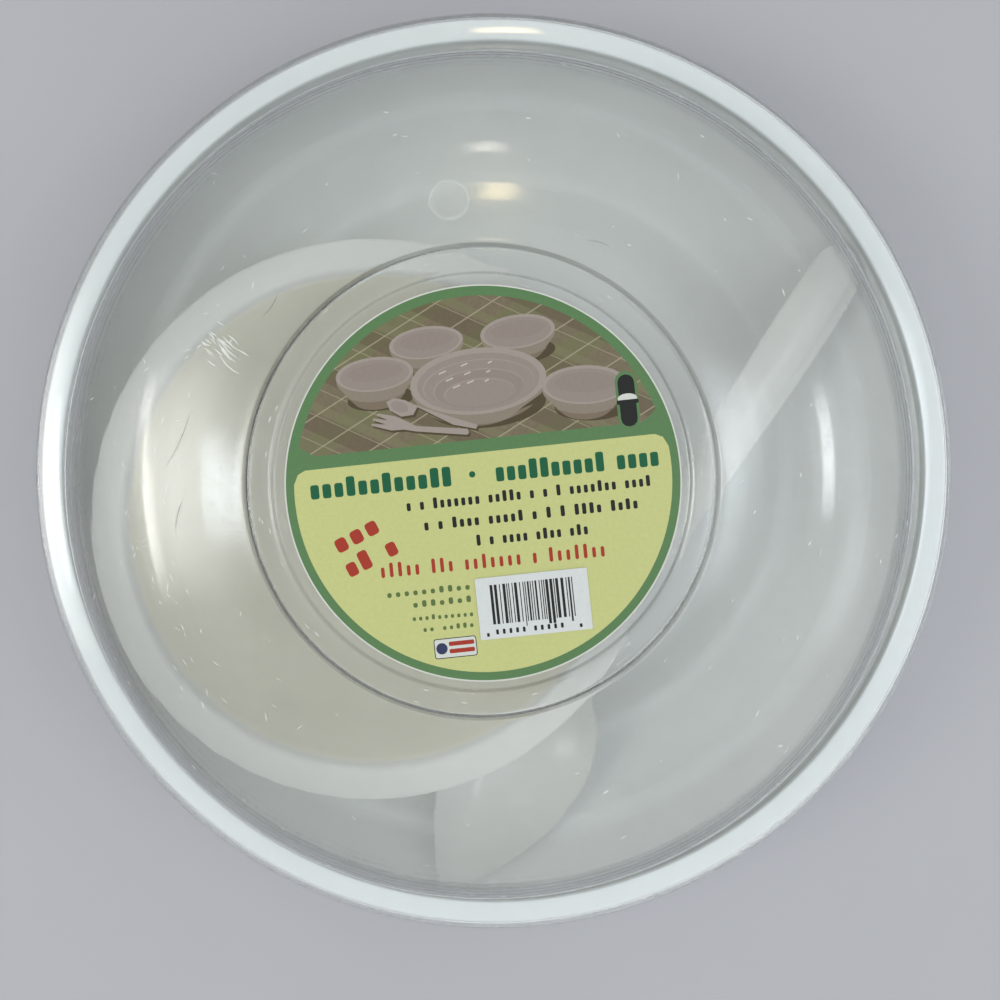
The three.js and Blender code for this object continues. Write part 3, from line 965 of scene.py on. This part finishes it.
def floor():
    n = Nodes("pale_floor")
    n.link(n.ramp(n.noise(6), (0.44, 0.445, 0.475), (0.455, 0.46, 0.49)), n.shader.inputs["Base Color"])
    n.set(Roughness=0.8)
    corners = [(x * FLOOR_REACH, y * FLOOR_REACH, 0) for x, y in ((-1, -1), (1, -1), (1, 1), (-1, 1))]
    piece = new_piece("floor", corners, [(0, 1, 2, 3)], n.material)


LIGHT_TARGET = Vector((0, 0, 0.06))
FADE_GAIN = 36  # one over the mean of u (1 - u) v (1 - v), so that fading keeps a light's power


def soft_light(name, direction, distance, size, energy, colour):
    """A rectangular light that fades towards its edges and looks at the middle of the set, from direction."""
    data = bpy.data.lights.new(name, "AREA")
    data.shape = "RECTANGLE"
    data.size, data.size_y = size
    data.energy = energy
    data.color = colour
    data.use_nodes = True
    tree = data.node_tree
    place = tree.nodes.new("ShaderNodeNewGeometry")
    axes = tree.nodes.new("ShaderNodeSeparateXYZ")
    tree.links.new(place.outputs["Parametric"], axes.inputs["Vector"])

    def step(operation, *values):
        node = tree.nodes.new("ShaderNodeMath")
        node.operation = operation
        for socket, value in zip(node.inputs, values):
            if isinstance(value, (int, float)):
                socket.default_value = value
            else:
                tree.links.new(value, socket)
        return node.outputs[0]

    humps = [step("MULTIPLY", axes.outputs[axis], step("SUBTRACT", 1, axes.outputs[axis])) for axis in ("X", "Y")]
    fade = step("MULTIPLY", step("MULTIPLY", *humps), FADE_GAIN)
    tree.links.new(fade, tree.nodes["Emission"].inputs["Strength"])
    light = bpy.data.objects.new(name, data)
    way = Vector(direction).normalized()
    light.location = LIGHT_TARGET + way * distance
    light.rotation_euler = way.to_track_quat("Z", "Y").to_euler()
    bpy.context.scene.collection.objects.link(light)


def world(strength, colour, towards, swing):
    """Even studio light that is a little stronger from one side."""
    sky = bpy.data.worlds.new("studio")
    sky.use_nodes = True
    tree = sky.node_tree
    background = tree.nodes["Background"]
    background.inputs["Color"].default_value = (*colour, 1)
    place = tree.nodes.new("ShaderNodeTexCoord")
    side = tree.nodes.new("ShaderNodeVectorMath")
    side.operation = "DOT_PRODUCT"
    side.inputs[1].default_value = Vector(towards).normalized()
    tree.links.new(place.outputs["Generated"], side.inputs[0])
    level = tree.nodes.new("ShaderNodeMapRange")
    for name, value in zip(("From Min", "From Max", "To Min", "To Max"),
                           (-1, 1, strength * (1 - swing), strength * (1 + swing))):
        level.inputs[name].default_value = value
    tree.links.new(side.outputs["Value"], level.inputs["Value"])
    tree.links.new(level.outputs["Result"], background.inputs["Strength"])
    bpy.context.scene.world = sky


CAMERA_PLACE = (0.032, 0.029, 0.394)
CAMERA_SHIFT = (-0.0888, -0.1156)


def camera():
    """Looks straight down from a point up and to the right of the lid's centre, in the label's own directions."""
    data = bpy.data.cameras.new("camera")
    data.sensor_width = 36
    data.lens = 36
    data.shift_x, data.shift_y = CAMERA_SHIFT
    data.clip_start, data.clip_end = 0.01, 20
    view = bpy.data.objects.new("camera", data)
    view.location = CAMERA_PLACE
    bpy.context.scene.collection.objects.link(view)
    bpy.context.scene.camera = view


floor()
soft_light("left_window", (-0.65, -0.07, 0.75), 1.1, (0.54, 0.38), 1.25, (1.0, 0.99, 0.93))
soft_light("left_strip", (-0.765, -0.09, 0.635), 1.05, (0.52, 0.06), 0.6, (1.0, 0.97, 0.92))
soft_light("left_spark", (-0.56, -0.095, 0.825), 1.118, (0.26, 0.08), 0.26, (0.82, 0.92, 1.0))
soft_light("right_light", (0.675, -0.02, 0.738), 1.19, (0.38, 0.12), 0.6, (0.95, 0.98, 1.0))
soft_light("rim_right", (0.33, -0.08, 0.94), 1.1, (0.5, 0.22), 0.7, (0.9, 0.96, 1.0))
soft_light("right_soft", (0.72, -0.3, 0.45), 1.5, (0.6, 0.6), 0.5, (0.95, 0.98, 1.0))
soft_light("top_light", (-0.09, 0.63, 0.77), 1.1, (0.11, 0.02), 0.06, (1.0, 0.93, 0.8))
soft_light("rim_glint", (-0.069, 0.456, 0.885), 1.16, (0.11, 0.06), 0.12, (1.0, 0.8, 0.42))
world(0.82, (0.97, 0.99, 1.0), (0.85, -0.5, 0.0), 0.62)
camera()
bpy.context.scene.view_settings.view_transform = "Standard"
